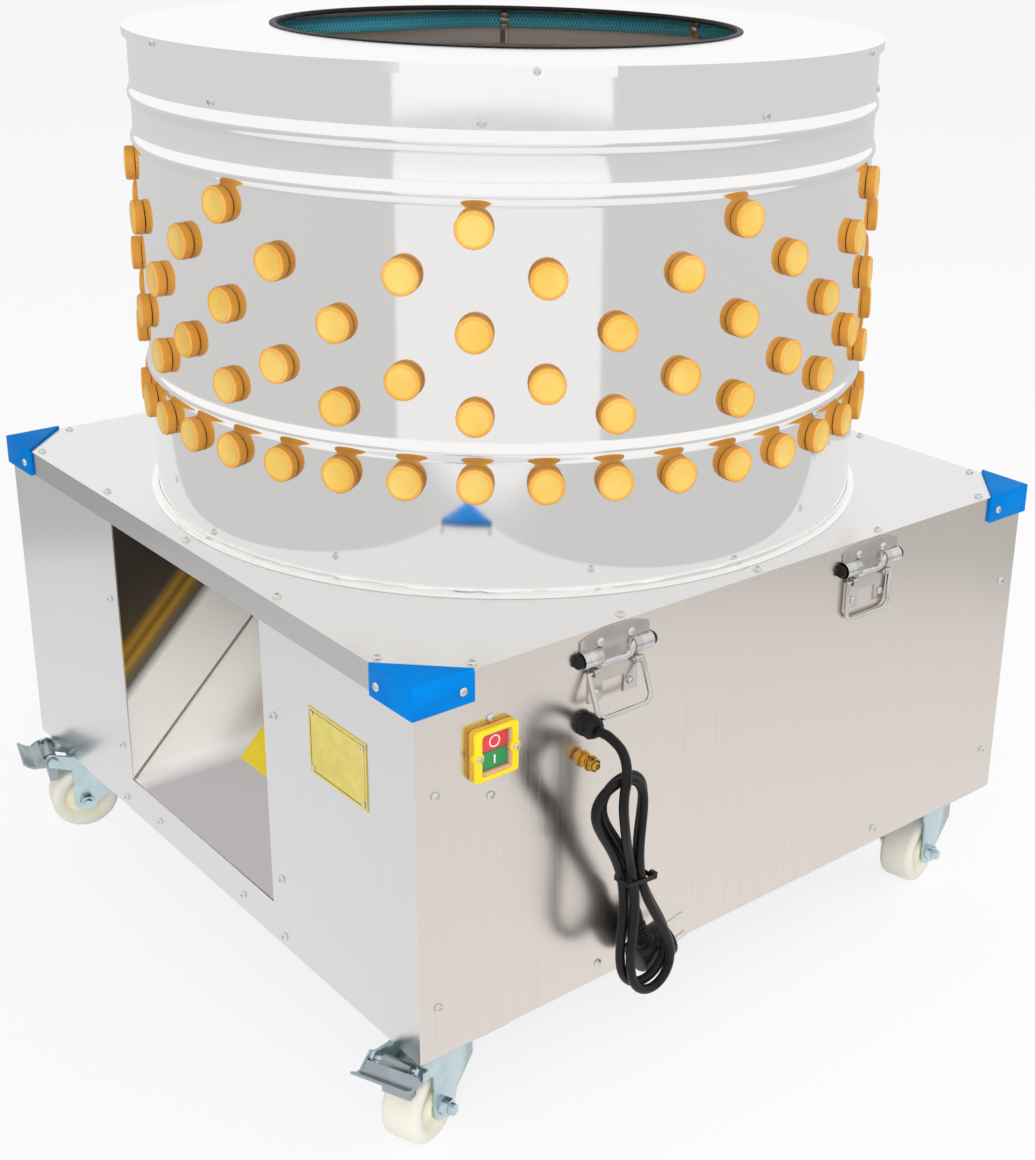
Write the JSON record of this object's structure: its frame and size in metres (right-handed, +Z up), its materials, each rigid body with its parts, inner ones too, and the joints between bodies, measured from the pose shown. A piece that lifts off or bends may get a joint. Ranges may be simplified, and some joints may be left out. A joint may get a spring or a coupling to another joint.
{
  "type": "poultry plucker",
  "caption": "Finger-lined steel drum on a wheeled square cabinet with a turning feather plate, belt drive, feather chute, push switch, folding handles and a tied-up mains lead.",
  "frame": {"origin": "on the floor under the drum's axis", "axes": "+Z up along the drum's axis, the feather chute faces -X, the switch and the lead face -Y"},
  "size_m": [0.6843, 0.7063, 0.7617],
  "materials": {
    "stainless": "polished",
    "frame_steel": "satin",
    "finger_rubber": "matt",
    "black_rubber": "matt",
    "steel": "machined",
    "cast": "as cast",
    "motor_paint": "satin",
    "hose": "satin",
    "brass": "bright",
    "blue_plastic": "gloss",
    "yellow_plastic": "gloss",
    "red_plastic": "gloss",
    "green_plastic": "gloss",
    "black_plastic": "matt",
    "zinc": "bright zinc",
    "nylon": "smooth"
  },
  "bodies": {
    "cabinet": {"base_top_panel": "stainless", "front_panel": "stainless", "rear_panel": "stainless", "right_panel": "stainless", "chute_side_panels": "stainless", "chute_sill": "stainless", "base_frame": "frame_steel", "bearing_beams": "frame_steel", "chute_slope": "stainless", "chute_walls": "stainless", "drum_shell": "stainless", "drum_foot_ring": "stainless", "lid_ring": "stainless", "opening_trim": "black_rubber", "drum_fingers": "finger_rubber", "shaft_bearings": "cast", "drive_belt": "black_rubber", "motor_body": "motor_paint", "motor_terminal_box": "black_plastic", "motor_bracket": "frame_steel", "water_hose": "hose", "hose_clips": "stainless", "hose_inlet": "brass", "corner_guards": "blue_plastic", "small_screws": "stainless", "switch_box": "yellow_plastic", "switch_bezel": "yellow_plastic", "cable_gland": "black_plastic", "cord_drop": "black_rubber", "cord_hank": "black_rubber", "cable_tie": "black_plastic", "plug_body": "black_rubber", "plug_pins": "steel", "earth_stud": "brass", "blank_plate": "brass", "handle_plates": "stainless", "caster_plates": "zinc"},
    "plate": {"feather_plate": "stainless", "plate_paddles": "stainless", "plate_fingers": "finger_rubber", "plate_hub": "steel", "main_shaft": "steel", "driven_pulley": "cast"},
    "rotor": {"motor_shaft": "steel", "motor_pulley": "cast"},
    "fork_fl": {"caster_fork_fl": "zinc"},
    "wheel_fl": {"wheel_fl": "nylon"},
    "pedal_fl": {"brake_pedal_fl": "zinc"},
    "fork_rl": {"caster_fork_rl": "zinc"},
    "wheel_rl": {"wheel_rl": "nylon"},
    "pedal_rl": {"brake_pedal_rl": "zinc"},
    "fork_fr": {"caster_fork_fr": "zinc"},
    "wheel_fr": {"wheel_fr": "nylon"},
    "fork_rr": {"caster_fork_rr": "zinc"},
    "wheel_rr": {"wheel_rr": "nylon"},
    "bail_front_near": {"bail_front_near": "stainless"},
    "bail_front_far": {"bail_front_far": "stainless"},
    "bail_rear_near": {"bail_rear_near": "stainless"},
    "bail_rear_far": {"bail_rear_far": "stainless"},
    "stop_key": {"stop_button": "red_plastic"},
    "start_key": {"start_button": "green_plastic"}
  },
  "joints": [
    {"name": "plate_spin", "type": "hinge", "parent": "cabinet", "child": "plate", "pos_m": [0, 0, 0.3855], "axis": [0, 0, 1], "continuous": true},
    {"name": "motor_spin", "type": "hinge", "parent": "cabinet", "child": "rotor", "pos_m": [0.215, 0, 0.18], "axis": [0, 0, 1], "continuous": true},
    {"name": "swivel_fl", "type": "hinge", "parent": "cabinet", "child": "fork_fl", "pos_m": [-0.2785, -0.2785, 0.0895], "axis": [0, 0, 1], "continuous": true},
    {"name": "roll_fl", "type": "hinge", "parent": "fork_fl", "child": "wheel_fl", "pos_m": [-0.29875, -0.2871, 0.031], "axis": [0.3907, -0.9205, 0], "continuous": true},
    {"name": "brake_fl", "type": "hinge", "parent": "fork_fl", "child": "pedal_fl", "pos_m": [-0.32453, -0.29804, 0.0785], "axis": [0.3907, -0.9205, 0], "range_deg": [0, 12]},
    {"name": "swivel_rl", "type": "hinge", "parent": "cabinet", "child": "fork_rl", "pos_m": [-0.2785, 0.2785, 0.0895], "axis": [0, 0, 1], "continuous": true},
    {"name": "roll_rl", "type": "hinge", "parent": "fork_rl", "child": "wheel_rl", "pos_m": [-0.29975, 0.28419, 0.031], "axis": [-0.2588, -0.9659, 0], "continuous": true},
    {"name": "brake_rl", "type": "hinge", "parent": "fork_rl", "child": "pedal_rl", "pos_m": [-0.3268, 0.29144, 0.0785], "axis": [-0.2588, -0.9659, 0], "range_deg": [0, 12]},
    {"name": "swivel_fr", "type": "hinge", "parent": "cabinet", "child": "fork_fr", "pos_m": [0.2785, -0.2785, 0.0895], "axis": [0, 0, 1], "continuous": true},
    {"name": "roll_fr", "type": "hinge", "parent": "fork_fr", "child": "wheel_fr", "pos_m": [0.25715, -0.28382, 0.031], "axis": [0.2419, -0.9703, 0], "continuous": true},
    {"name": "swivel_rr", "type": "hinge", "parent": "cabinet", "child": "fork_rr", "pos_m": [0.2785, 0.2785, 0.0895], "axis": [0, 0, 1], "continuous": true},
    {"name": "roll_rr", "type": "hinge", "parent": "fork_rr", "child": "wheel_rr", "pos_m": [0.25677, 0.28194, 0.031], "axis": [-0.1564, -0.9877, 0], "continuous": true},
    {"name": "bail_front_near_swing", "type": "hinge", "parent": "cabinet", "child": "bail_front_near", "pos_m": [-0.15, -0.3235, 0.353], "axis": [-1, 0, 0], "range_deg": [0, 70]},
    {"name": "bail_front_far_swing", "type": "hinge", "parent": "cabinet", "child": "bail_front_far", "pos_m": [0.12, -0.3235, 0.353], "axis": [-1, 0, 0], "range_deg": [0, 70]},
    {"name": "bail_rear_near_swing", "type": "hinge", "parent": "cabinet", "child": "bail_rear_near", "pos_m": [0.15, 0.3235, 0.353], "axis": [1, 0, 0], "range_deg": [0, 70]},
    {"name": "bail_rear_far_swing", "type": "hinge", "parent": "cabinet", "child": "bail_rear_far", "pos_m": [-0.12, 0.3235, 0.353], "axis": [1, 0, 0], "range_deg": [0, 70]},
    {"name": "stop_press", "type": "slide", "parent": "cabinet", "child": "stop_key", "axis": [0, 1, 0], "range_m": [0, 0.0025], "stiffness_N_per_m": 800, "springref_m": -0.001},
    {"name": "start_press", "type": "slide", "parent": "cabinet", "child": "start_key", "axis": [0, 1, 0], "range_m": [0, 0.0025], "stiffness_N_per_m": 800, "springref_m": -0.001}
  ],
  "couplings": [
    {"joint": "motor_spin", "follows": "plate_spin", "ratio": 6.532}
  ]
}
